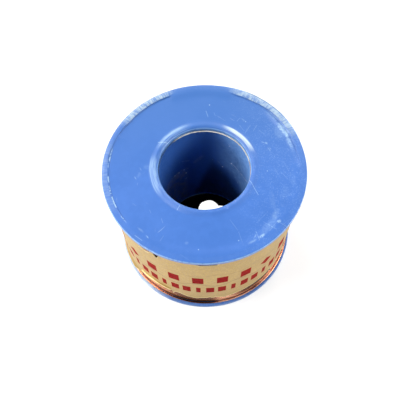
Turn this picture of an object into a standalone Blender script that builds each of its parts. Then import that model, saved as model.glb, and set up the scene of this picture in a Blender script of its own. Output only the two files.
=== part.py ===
"""Winding wire spool: two moulded flanges on a barrel tube, a copper winding,
the loose last turn of wire and a wrapped paper seal label.

The axis is Z, up, and the spool stands on its lower flange at z = 0. Sizes are in mm
and become metres through MM. Angles are in degrees from the front (-Y), positive to
the right (+X).
"""

import math

import bmesh
import bpy

MM = 0.001

# Overall
FLANGE_R = 31.5          # flange outer radius
HEIGHT = 46.4            # over both rims
GAP = 0.3                # clearance between neighbouring pieces
TURN_STEPS = 80          # segments round the axis
MERGE_DIST = 0.01        # joins the first and last step of a turned piece

# Flange section: depths are measured inward from the rim plane
RIM_FLAT_R = 30.5        # the bead is flat out to here, then falls to the edge
RIM_CORNER = [(0.25, 0.14), (0.07, 0.28), (0.0, 0.48)]  # inset from the edge, depth
RIM_EDGE = 0.3           # rounding on the inner side of the rim
RIM_EDGE_MID = 0.3       # inset of the rounding's middle point, as a share of it
RIM_T = 1.75             # thickness at the rim
HUB_T = 2.1              # thickness at the hub
BEAD_R = 29.6            # inner radius of the raised rim bead
BEAD_H = 0.35            # bead height over the disc face
BEAD_FLANK = [(-0.15, 1.0), (0.0, 0.4), (0.2, 0.0)]  # offset from BEAD_R, share of BEAD_H
BORE_R = 14.33
BORE_EDGE = 0.12         # chamfer between bore and shoulder
BORE_TOP = 0.90          # depth where the bore meets the lip
LIP_R = 17.1             # outer radius of the lip round the bore
LIP = [                  # radius, depth, from the bore outward
    (14.42, 0.62), (14.65, 0.40), (15.10, 0.22), (15.80, 0.12), (16.50, 0.18),
]
SHOULDER = 1.8           # depth of the shoulder below the tube's end
COLLAR_RI = 15.9         # socket collar for the barrel tube
COLLAR_RO = 17.2
COLLAR_END = 6.5
COLLAR_EDGE_R = 0.25     # chamfer at the collar's end, across and along
COLLAR_EDGE_Z = 0.3
COLLAR_ROOT = [(0.35, 0.0), (0.05, 0.3)]  # offset from COLLAR_RO, from HUB_T

# Barrel tube
TUBE_RI = 14.1
TUBE_RO = 15.6
TUBE_END = SHOULDER + GAP
TUBE_EDGE = 0.15

# Winding
WIND_R = 29.85           # outer radius of the wound wire
WIND_STEP_R = 29.0       # radius under the separately modelled outer turns
WIND_END = HUB_T + GAP
WIND_EDGE = 0.25
WIND_STEP_Z = 8.9        # top of the stepped band
WIND_BORE_SLOPE = 0.4    # height over which the bore narrows from collar to tube

# Wire
WIRE_D = 0.6
WIRE_BEVEL_STEPS = 2

# Outer turns, laid side by side in the stepped band
TURNS_R = WIND_STEP_R + GAP + WIRE_D / 2
TURNS_Z = 3.4            # centre of the wire at its lower end
TURNS_PITCH = 0.66
TURNS_N = 7.25
TURNS_STEPS = 40         # segments per turn
TURNS_START = 150.0

# Loose last turn
LAST_R = 30.45
LAST_Z = 2.48
LAST_STEPS = 60          # segments per full turn
LAST_START = 140.0
LAST_SWEEP = 350.0
TAIL_SWEEP = 26.0        # the end springs away from the winding over this angle
TAIL_R = 31.05
TAIL_LIFT = 0.1

# Seal label: radii are those of its inner face
LABEL_T = 0.15
LABEL_R = WIND_R + 0.2
LABEL_LAP_R = LABEL_R + LABEL_T + 0.12  # where the strip laps over its own start
LABEL_FROM = -115.0
LABEL_TO = 275.0
LAP_TO = LABEL_FROM + 360.0 - 2.0       # fully risen just before its own start
LAP_FROM = LAP_TO - 10.0
LABEL_COLS = 117
LABEL_ROWS = 4

# Lower edge of the label
LOW_LAP = 3.7            # height at both ends
LOW_FOLD = 9.6           # height where the edge is folded up
LOW_FRONT = 7.9
FOLD_FROM = -50.0
FOLD_TO = -23.0
LOW_FALL = (120.0, 220.0)  # falls from LOW_FRONT to LOW_LAP between these angles

# Upper edge of the label
HIGH = 42.2
HIGH_DIP = 1.2           # how much lower it runs at the back
DIP_FALL = (40.0, 120.0)
DIP_RISE = (170.0, 250.0)

# Colours, linear RGBA
BLUE = (0.060, 0.200, 0.640, 1.0)
TUBE_BLUE = (0.020, 0.075, 0.300, 1.0)
COPPER = (0.560, 0.180, 0.060, 1.0)
GOLD = (0.560, 0.400, 0.150, 1.0)


# Helpers

def clear_scene():
    for obj in list(bpy.data.objects):
        bpy.data.objects.remove(obj, do_unlink=True)


def material(name, colour, roughness, metallic=0.0):
    mat = bpy.data.materials.new(name)
    mat.use_nodes = True
    shader = mat.node_tree.nodes["Principled BSDF"]
    shader.inputs["Base Color"].default_value = colour
    shader.inputs["Roughness"].default_value = roughness
    shader.inputs["Metallic"].default_value = metallic
    mat.diffuse_color = colour
    return mat


def add_object(name, data, parts, mat):
    obj = bpy.data.objects.new(name, data)
    data.materials.append(mat)
    parts.objects.link(obj)
    return obj


def turned(name, profile, parts, mat):
    """A closed (radius, height) profile at +X, turned about Z with a Screw."""
    mesh = bpy.data.meshes.new(name)
    bm = bmesh.new()
    verts = [bm.verts.new((r * MM, 0.0, z * MM)) for r, z in profile]
    for vert, following in zip(verts, verts[1:] + verts[:1]):
        bm.edges.new((vert, following))
    bm.to_mesh(mesh)
    bm.free()
    screw = add_object(name, mesh, parts, mat).modifiers.new("Turn", "SCREW")
    screw.axis = "Z"
    screw.steps = TURN_STEPS
    screw.render_steps = TURN_STEPS
    screw.use_merge_vertices = True
    screw.merge_threshold = MERGE_DIST * MM
    screw.use_normal_calculate = False


def wire(name, points, origin_z, parts, mat):
    """A round wire through the points; its origin lies on the spool's axis."""
    curve = bpy.data.curves.new(name, "CURVE")
    curve.dimensions = "3D"
    spline = curve.splines.new("POLY")
    spline.points.add(len(points) - 1)
    for point, (x, y, z) in zip(spline.points, points):
        point.co = (x * MM, y * MM, (z - origin_z) * MM, 1.0)
    curve.bevel_depth = WIRE_D / 2 * MM
    curve.bevel_resolution = WIRE_BEVEL_STEPS
    curve.use_fill_caps = True
    add_object(name, curve, parts, mat).location.z = origin_z * MM


def polar(angle, radius, z):
    from_x = math.radians(angle - 90.0)
    return (radius * math.cos(from_x), radius * math.sin(from_x), z)


def ramp(value, start, end):
    """Smooth rise from 0 at start to 1 at end; start may be the larger."""
    t = max(0.0, min(1.0, (value - start) / (end - start)))
    return t * t * (3.0 - 2.0 * t)


# Flanges

def flange_profile():
    """(radius, depth): round the rim, along the inner face and collar, back by the bore."""
    return [
        (RIM_FLAT_R, 0.0),
        *[(FLANGE_R - inset, depth) for inset, depth in RIM_CORNER],
        (FLANGE_R, RIM_T - RIM_EDGE),
        (FLANGE_R - RIM_EDGE * RIM_EDGE_MID, RIM_T - RIM_EDGE * RIM_EDGE_MID),
        (FLANGE_R - RIM_EDGE, RIM_T),
        *[(COLLAR_RO + out, HUB_T + depth) for out, depth in COLLAR_ROOT],
        (COLLAR_RO, COLLAR_END - COLLAR_EDGE_Z),
        (COLLAR_RO - COLLAR_EDGE_R, COLLAR_END),
        (COLLAR_RI + COLLAR_EDGE_R, COLLAR_END),
        (COLLAR_RI, COLLAR_END - COLLAR_EDGE_Z),
        (COLLAR_RI, SHOULDER),
        (BORE_R + BORE_EDGE, SHOULDER),
        (BORE_R, SHOULDER - BORE_EDGE),
        (BORE_R, BORE_TOP),
        *LIP,
        (LIP_R, BEAD_H),
        *[(BEAD_R + out, BEAD_H * share) for out, share in BEAD_FLANK],
    ]


def lower_flange(parts):
    # depths are heights here, so the loop is reversed to keep the normals outward
    mat = material("lower_flange_plastic", BLUE, roughness=0.42)
    turned("lower_flange", flange_profile()[::-1], parts, mat)


def upper_flange(parts):
    profile = [(radius, HEIGHT - depth) for radius, depth in flange_profile()]
    turned("upper_flange", profile, parts, material("flange_plastic", BLUE, roughness=0.42))


# Barrel tube and winding

def barrel_tube(parts):
    low, high, edge = TUBE_END, HEIGHT - TUBE_END, TUBE_EDGE
    profile = [
        (TUBE_RO - edge, high),
        (TUBE_RO, high - edge),
        (TUBE_RO, low + edge),
        (TUBE_RO - edge, low),
        (TUBE_RI + edge, low),
        (TUBE_RI, low + edge),
        (TUBE_RI, high - edge),
        (TUBE_RI + edge, high),
    ]
    turned("barrel_tube", profile, parts, material("tube_plastic", TUBE_BLUE, roughness=0.35))


def winding_core(parts):
    low, high, edge = WIND_END, HEIGHT - WIND_END, WIND_EDGE
    over_collar_r = COLLAR_RO + GAP
    over_tube_r = TUBE_RO + GAP
    collar_z = COLLAR_END + GAP
    tube_z = collar_z + WIND_BORE_SLOPE
    profile = [
        (WIND_R - edge, high),
        (WIND_R, high - edge),
        (WIND_R, WIND_STEP_Z + edge),
        (WIND_R - edge, WIND_STEP_Z),
        (WIND_STEP_R, WIND_STEP_Z),
        (WIND_STEP_R, low + edge),
        (WIND_STEP_R - edge, low),
        (over_collar_r, low),
        (over_collar_r, collar_z),
        (over_tube_r, tube_z),
        (over_tube_r, HEIGHT - tube_z),
        (over_collar_r, HEIGHT - collar_z),
        (over_collar_r, high),
    ]
    mat = material("winding_copper", COPPER, roughness=0.25, metallic=0.9)
    turned("winding_core", profile, parts, mat)


def outer_turns(parts):
    points = []
    for i in range(int(TURNS_N * TURNS_STEPS) + 1):
        turn = i / TURNS_STEPS
        z = TURNS_Z + TURNS_PITCH * turn
        points.append(polar(TURNS_START + 360.0 * turn, TURNS_R, z))
    mat = material("outer_turn_copper", COPPER, roughness=0.22, metallic=0.9)
    wire("outer_turns", points, TURNS_Z, parts, mat)


def last_turn(parts):
    steps = int(LAST_SWEEP / 360.0 * LAST_STEPS)
    points = []
    for i in range(steps + 1):
        sweep = LAST_SWEEP * i / steps
        spring = ramp(sweep, LAST_SWEEP - TAIL_SWEEP, LAST_SWEEP)
        radius = LAST_R + (TAIL_R - LAST_R) * spring
        points.append(polar(LAST_START + sweep, radius, LAST_Z + TAIL_LIFT * spring))
    mat = material("last_turn_copper", COPPER, roughness=0.22, metallic=0.9)
    wire("last_turn", points, LAST_Z, parts, mat)


# Seal label

def label_low(angle):
    """Lower edge: low at both ends, folded up at the front left."""
    if angle <= FOLD_FROM:
        return LOW_LAP
    if angle <= FOLD_TO:
        return LOW_FOLD
    return LOW_FRONT - (LOW_FRONT - LOW_LAP) * ramp(angle, *LOW_FALL)


def label_high(angle):
    """Upper edge: a little lower at the back."""
    return HIGH - HIGH_DIP * ramp(angle, *DIP_FALL) * (ramp(angle, *DIP_RISE[::-1]))


def seal_label(parts):
    bm = bmesh.new()
    # a unit grid: x runs along the strip, y up it
    bmesh.ops.create_grid(bm, x_segments=LABEL_COLS, y_segments=LABEL_ROWS, size=0.5)
    for vert in bm.verts:
        along, up = vert.co.x + 0.5, vert.co.y + 0.5
        angle = LABEL_FROM + (LABEL_TO - LABEL_FROM) * along
        radius = LABEL_R + (LABEL_LAP_R - LABEL_R) * ramp(angle, LAP_FROM, LAP_TO)
        low, high = label_low(angle), label_high(angle)
        vert.co = [c * MM for c in polar(angle, radius, low + (high - low) * up)]
    # the paper thickens along its normals, so they must all face away from the axis
    bmesh.ops.recalc_face_normals(bm, faces=bm.faces)
    bm.faces.ensure_lookup_table()
    face = bm.faces[0]
    if face.normal.xy.dot(face.calc_center_median().xy) < 0.0:
        bmesh.ops.reverse_faces(bm, faces=bm.faces)
    mesh = bpy.data.meshes.new("seal_label")
    bm.to_mesh(mesh)
    bm.free()
    mesh.shade_smooth()
    mat = material("label_paper", GOLD, roughness=0.45, metallic=0.3)
    paper = add_object("seal_label", mesh, parts, mat).modifiers.new("Paper", "SOLIDIFY")
    paper.thickness = LABEL_T * MM
    paper.offset = 1.0
    paper.use_even_offset = True


def build():
    clear_scene()
    parts = bpy.data.collections.new("winding_wire_spool")
    bpy.context.scene.collection.children.link(parts)
    lower_flange(parts)
    upper_flange(parts)
    barrel_tube(parts)
    winding_core(parts)
    outer_turns(parts)
    last_turn(parts)
    seal_label(parts)


build()
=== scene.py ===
"""A spool of enamelled copper winding wire: blue plastic flanges and tube, wire and a gold label.

The spool stands upright on the floor with its axis on +Z and the lower flange's face at z = 0.
The front is -Y and the right is +X. Meshes are worked out in millimetres and scaled by MM;
materials, lights and the camera are in metres unless a name says mm.

Two kinds of angle are used, both in degrees:
  angle    from the front (-Y), positive to the right, for meshes and the label
  azimuth  from +X, anticlockwise seen from above, for marks and wear (90 is the back)
"""

import math

import bmesh
import bpy
from mathutils import Euler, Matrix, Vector, noise


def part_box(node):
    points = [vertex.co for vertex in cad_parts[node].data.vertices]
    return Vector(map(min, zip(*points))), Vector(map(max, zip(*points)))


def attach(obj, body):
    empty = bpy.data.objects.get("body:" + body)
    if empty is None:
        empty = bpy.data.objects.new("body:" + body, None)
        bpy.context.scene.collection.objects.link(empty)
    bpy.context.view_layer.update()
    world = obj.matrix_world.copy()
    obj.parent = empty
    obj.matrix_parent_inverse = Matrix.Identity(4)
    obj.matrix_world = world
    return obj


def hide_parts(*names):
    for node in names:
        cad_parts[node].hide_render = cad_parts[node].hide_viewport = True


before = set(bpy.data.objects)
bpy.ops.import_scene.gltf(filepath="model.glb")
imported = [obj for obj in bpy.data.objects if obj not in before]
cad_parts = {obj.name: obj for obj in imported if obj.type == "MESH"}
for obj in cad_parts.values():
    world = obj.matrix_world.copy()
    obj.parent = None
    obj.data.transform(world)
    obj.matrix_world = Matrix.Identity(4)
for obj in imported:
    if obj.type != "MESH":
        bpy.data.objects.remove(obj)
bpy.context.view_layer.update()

MM = 0.001
TAU = math.tau
DEG_PER_RAD = 180.0 / math.pi

_, flange_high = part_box("upper_flange")
TOP = flange_high.z / MM                                # rim plane of the upper flange, mm
RIM_R = max(flange_high.x, flange_high.y) / MM          # flange radius, mm
MID_Z = TOP * MM / 2                                    # half the spool's height, metres
FLANGE_SEGMENTS = 720
TUBE_SEGMENTS = 360
BODY_SEGMENTS = 240


# ------------------------------------------------------------ shaping helpers
def at(angle, r, z):
    """Point in metres from an angle and a radius and height in mm."""
    azimuth = math.radians(angle - 90.0)
    return Vector((r * math.cos(azimuth), r * math.sin(azimuth), z)) * MM


def smooth(t):
    """Smoothstep from 0 to 1."""
    t = max(0.0, min(1.0, t))
    return t * t * (3.0 - 2.0 * t)


def bump(x, centre, half):
    """1 at the centre, falling smoothly to 0 at centre +- half."""
    return smooth(1.0 - abs(x - centre) / half)


def wrap(degrees):
    """Angle difference folded to -180..180."""
    return (degrees + 180.0) % 360.0 - 180.0


def window(degrees, start, stop, soft):
    """1 between two angles, with ends that fade over +- soft degrees."""
    middle, half = (start + stop) / 2.0, (stop - start) / 2.0
    distance = abs(wrap(degrees - middle))
    return smooth((half + soft - distance) / (2.0 * soft))


def noise_at(x, y=0.0, z=0.0):
    return noise.noise(Vector((x, y, z)))


def ring_noise(degrees, cycles, seed, z=0.0):
    """Noise that closes on itself round the axis, about -1..1."""
    turn = math.radians(degrees)
    k = cycles / TAU
    return 1.6 * noise_at(k * math.cos(turn) + seed, k * math.sin(turn) - seed * 1.7,
                          z + seed * 0.31)


# --------------------------------------------------------------- mesh helpers
def new_object(name, bm, material):
    """Smooth-shaded object in the scene from a bmesh, which is freed."""
    mesh = bpy.data.meshes.new(name)
    bm.to_mesh(mesh)
    bm.free()
    mesh.polygons.foreach_set("use_smooth", [True] * len(mesh.polygons))
    obj = bpy.data.objects.new(name, mesh)
    bpy.context.scene.collection.objects.link(obj)
    obj.data.materials.append(material)
    return obj


def register(obj, carrier, replaces=None):
    if replaces is not None:
        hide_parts(replaces)
    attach(obj, carrier)


def lathe(name, profile, material, segments, shift=None):
    """Closed (r, z) loop in mm turned about Z; shift(degrees, i, r, z) moves each point."""
    bm = bmesh.new()
    rings = []
    for j in range(segments):
        degrees = 360.0 * j / segments
        ring = []
        for i, (r, z) in enumerate(profile):
            if shift is not None:
                r, z = shift(degrees, i, r, z)
            ring.append(bm.verts.new(at(degrees, r, z)))
        rings.append(ring)
    count = len(profile)
    for j in range(segments):
        here, after = rings[j], rings[(j + 1) % segments]
        for i in range(count):
            k = (i + 1) % count
            bm.faces.new((here[i], after[i], after[k], here[k]))
    bmesh.ops.recalc_face_normals(bm, faces=bm.faces)
    return new_object(name, bm, material)


def sweep(name, points, material, sides=10):
    """A round wire along points in mm, with blunt pointed ends."""
    bm = bmesh.new()
    rings = []
    last = len(points) - 1
    for i, point in enumerate(points):
        before = points[max(0, i - 1)]
        after = points[min(last, i + 1)]
        along = (Vector(after) - Vector(before)).normalized()
        side = along.cross(Vector((0, 0, 1))).normalized()
        normal = side.cross(along).normalized()
        ring = []
        for k in range(sides):
            turn = TAU * k / sides
            offset = (side * math.cos(turn) + normal * math.sin(turn)) * WIRE_R
            ring.append(bm.verts.new((Vector(point) + offset) * MM))
        rings.append(ring)
    for i in range(last):
        for k in range(sides):
            m = (k + 1) % sides
            bm.faces.new((rings[i][k], rings[i][m], rings[i + 1][m], rings[i + 1][k]))
    for ring, at_end, point, inside in ((rings[0], False, points[0], points[1]),
                                        (rings[-1], True, points[-1], points[-2])):
        along = (Vector(point) - Vector(inside)).normalized()
        tip = bm.verts.new((Vector(point) + along * WIRE_R * 0.35) * MM)
        for k in range(sides):
            m = (k + 1) % sides
            bm.faces.new((ring[k], ring[m], tip) if at_end else (ring[m], ring[k], tip))
    bmesh.ops.recalc_face_normals(bm, faces=bm.faces)
    return new_object(name, bm, material)


# --------------------------------------------------------------- node helpers
class Signal:
    """A node output. Arithmetic on it adds the matching Math node to its graph."""

    def __init__(self, graph, socket):
        self.graph = graph
        self.socket = socket

    def __add__(self, other):
        return self.graph.math("ADD", self, other)

    def __radd__(self, other):
        return self.graph.math("ADD", other, self)

    def __sub__(self, other):
        return self.graph.math("SUBTRACT", self, other)

    def __rsub__(self, other):
        return self.graph.math("SUBTRACT", other, self)

    def __mul__(self, other):
        return self.graph.math("MULTIPLY", self, other)

    def __abs__(self):
        return self.graph.math("ABSOLUTE", self)

    def add_clamped(self, other):
        return self.graph.math("ADD", self, other, clamp=True)

    def max(self, other):
        return self.graph.math("MAXIMUM", self, other)

    def sine(self):
        return self.graph.math("SINE", self)

    def remap(self, start, stop, to):
        """Smoothstep from to[0] at start to to[1] at stop."""
        values = (self, start, stop, *to)
        return self.graph.signal("MapRange", dict(enumerate(values)),
                                 interpolation_type="SMOOTHSTEP")

    def rise(self, start, stop):
        """0 up to start, 1 from stop."""
        return self.remap(start, stop, to=(0.0, 1.0))

    def fall(self, start, stop):
        """1 up to start, 0 from stop."""
        return self.remap(start, stop, to=(1.0, 0.0))

    def band(self, rise, fall):
        """1 between a rise and a fall, each given as (start, stop)."""
        return self.rise(*rise) * self.fall(*fall)

    def window(self, start, stop, soft):
        """1 between two values, with ends that fade over +- soft."""
        return self.band((start - soft, start + soft), (stop - soft, stop + soft))

    def past_left(self, rise, fall):
        """1 above the rise and below the fall: the left side, where an azimuth wraps."""
        return self.rise(*rise).add_clamped(self.fall(*fall))


class Graph:
    """Short calls for adding nodes to a shader tree."""

    def __init__(self, tree):
        self.tree = tree

    def put(self, socket, value):
        """Link a signal or node output to an input, or set the input's value."""
        source = getattr(value, "socket", value)
        if isinstance(source, bpy.types.NodeSocket):
            self.tree.links.new(source, socket)
        elif isinstance(value, tuple) and len(value) == 3 and socket.type == "RGBA":
            socket.default_value = (*value, 1.0)
        else:
            socket.default_value = value

    def new(self, kind, inputs=None, **settings):
        node = self.tree.nodes.new("ShaderNode" + kind)
        for key, value in settings.items():
            setattr(node, key, value)
        for key, value in (inputs or {}).items():
            self.put(node.inputs[key], value)
        return node

    def signal(self, kind, inputs=None, output=0, **settings):
        return Signal(self, self.new(kind, inputs, **settings).outputs[output])

    def math(self, operation, *values, clamp=False):
        return self.signal("Math", dict(enumerate(values)), operation=operation, use_clamp=clamp)

    def length(self, u, v):
        return self.math("SQRT", u * u + v * v)

    def separate(self, vector):
        node = self.new("SeparateXYZ", {0: vector})
        return [Signal(self, output) for output in node.outputs]

    def combine(self, x, y, z):
        return self.signal("CombineXYZ", {0: x, 1: y, 2: z})


class Material(Graph):
    """A node material with its Principled shader and object-space position."""

    def __init__(self, name):
        self.material = bpy.data.materials.new(name)
        self.material.use_nodes = True
        super().__init__(self.material.node_tree)
        self.bsdf = self.tree.nodes["Principled BSDF"]
        self.position = self.signal("TexCoord", output="Object")

    def noise(self, vector=None, scale=1.0, detail=3.0, rough=0.55, distortion=0.0):
        return self.signal("TexNoise", {
            "Vector": vector or self.position, "Scale": scale, "Detail": detail,
            "Roughness": rough, "Distortion": distortion}, output="Fac")

    def voronoi(self, scale, output="Distance"):
        return self.signal("TexVoronoi", {"Vector": self.position, "Scale": scale}, output)

    def cell_value(self, scale, channel):
        """A random value for each Voronoi cell."""
        return self.separate(self.voronoi(scale, "Color"))[channel]

    def specks(self, scale, size, channel, chosen):
        """Round specks in the few cells whose random value passes the chosen limits."""
        distance = self.voronoi(scale)
        return distance.fall(*size) * self.cell_value(scale, channel).rise(*chosen)

    def mapped(self, vector=None, **transform):
        """The position, or a vector, put through a Mapping node."""
        return self.signal("Mapping", {"Vector": vector or self.position, **transform})

    def mix(self, factor, first, second):
        return self.signal("Mix", {0: factor, 6: first, 7: second}, 2, data_type="RGBA")

    def bump(self, height, strength, distance):
        return self.signal("Bump", {"Strength": strength, "Distance": distance,
                                    "Height": height})

    def set(self, name, value):
        self.put(self.bsdf.inputs[name], value)

    def line_mask(self, x, y, start, stop, width):
        """1 on a thin straight line from start to stop."""
        dx, dy = stop[0] - start[0], stop[1] - start[1]
        length = math.hypot(dx, dy)
        dx, dy = dx / length, dy / length
        from_x = x - start[0]
        from_y = y - start[1]
        along = from_x * dx + from_y * dy
        across = from_x * -dy - from_y * -dx
        beyond = abs(along - length / 2) - length / 2
        return abs(across).max(beyond).fall(width * 0.35, width)

    def blob_mask(self, x, y, centre, half_widths, turn, wobble):
        """A ragged elongated patch, turned by degrees."""
        cos, sin = math.cos(math.radians(turn)), math.sin(math.radians(turn))
        half_u, half_v = half_widths
        from_x = x - centre[0]
        from_y = y - centre[1]
        u = from_x * (cos / half_u) + from_y * (sin / half_u)
        v = from_x * (-sin / half_v) + from_y * (cos / half_v)
        distance = self.length(u, v) + (wobble - 0.5) * 1.5
        return distance.fall(0.35, 1.15)


# --------------------------------------------------------------- blue plastic
BLUE = (0.0350, 0.1185, 0.385)

# Rubbed patches on the upper flange:
# centre x, y and half widths (mm), turn (degrees), strength
RUBBED_PATCHES = (
    (21.6, -18.7, 0.75, 0.55, 20.0, 0.50), (20.6, -16.6, 2.3, 1.2, 60.0, 0.16),
    (16.3, -23.3, 1.15, 0.55, 35.0, 0.55), (13.6, -24.9, 1.7, 0.45, 30.0, 0.26),
    (18.4, -20.2, 3.6, 1.5, 45.0, 0.13), (20.2, -12.0, 3.4, 1.1, 95.0, 0.07),
    (24.0, -9.5, 2.6, 1.3, 80.0, 0.05), (26.9, -5.0, 2.4, 0.9, 85.0, 0.06),
    (-16.6, -23.1, 0.85, 0.25, -50.0, 0.42), (-18.6, -20.9, 1.2, 0.35, -45.0, 0.20),
    (-5.3, -25.0, 0.75, 0.6, 0.0, 0.14), (14.4, -23.2, 1.0, 0.25, 60.0, 0.30),
    (-17.7, 0.4, 1.1, 1.0, 70.0, 0.10), (-20.0, -2.4, 1.2, 0.5, 70.0, 0.12),
    (-21.0, -3.6, 0.7, 0.18, -60.0, 0.32), (-19.6, -0.4, 0.9, 0.2, -65.0, 0.16),
    (25.2, 13.2, 3.6, 1.15, 118.0, 0.62), (26.8, 8.8, 3.2, 0.8, 105.0, 0.40),
    (21.9, 18.6, 3.2, 0.8, 136.0, 0.18), (23.6, 12.0, 2.8, 1.5, 115.0, 0.13),
    (19.6, 8.4, 0.5, 0.22, -20.0, 0.40), (20.6, 6.4, 0.55, 0.2, -50.0, 0.40),
)

# Straight scratches on the upper flange: start, stop, width (mm), strength
SCRATCHES = (
    ((13.7, -4.9), (16.0, -9.8), 0.13, 0.42),          # beside the bore
    ((-14.5, 9.17), (-10.9, 8.75), 0.14, 0.50),        # across the left of the lip
    ((-7.4, -13.1), (-8.2, -14.5), 0.15, 0.50),
    ((0.72, 20.9), (1.35, 18.7), 0.14, 0.30),
    ((3.3, 20.2), (3.7, 19.0), 0.11, 0.18),
    ((11.4, 15.2), (12.6, 13.2), 0.09, 0.22), ((13.0, 12.2), (14.8, 15.2), 0.09, 0.26),
    ((15.6, 12.9), (17.0, 15.2), 0.09, 0.22), ((17.5, 13.2), (18.8, 12.0), 0.09, 0.24),
    ((10.6, 16.8), (11.6, 18.0), 0.09, 0.24), ((12.3, 17.9), (12.9, 16.6), 0.09, 0.18),
    ((18.1, 8.9), (19.8, 8.0), 0.11, 0.42), ((19.9, 6.6), (20.6, 5.4), 0.11, 0.40),
    ((23.4, -2.2), (25.3, -4.7), 0.08, 0.22), ((21.7, -1.6), (22.9, -3.4), 0.08, 0.16),
    ((9.7, -21.8), (10.6, -25.0), 0.08, 0.22), ((7.3, -17.9), (9.4, -21.2), 0.08, 0.22),
    ((14.7, -21.7), (15.6, -24.6), 0.10, 0.34), ((17.1, -18.7), (20.6, -21.3), 0.09, 0.26),
    ((15.0, -19.0), (18.5, -15.5), 0.08, 0.16), ((18.6, -21.7), (21.3, -18.3), 0.09, 0.20),
    ((-13.0, -24.4), (-12.0, -22.7), 0.09, 0.18), ((-18.1, -24.2), (-20.2, -22.6), 0.12, 0.34),
    ((21.9, -19.3), (23.4, -20.3), 0.10, 0.28), ((-12.8, -17.2), (-12.3, -18.6), 0.10, 0.22),
    ((-16.3, -14.4), (-15.9, -15.4), 0.10, 0.20), ((24.5, 1.2), (25.8, -1.9), 0.08, 0.18),
)


def tint(colour, factor, lift=0.0):
    return tuple(c * factor + lift for c in colour)


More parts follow.
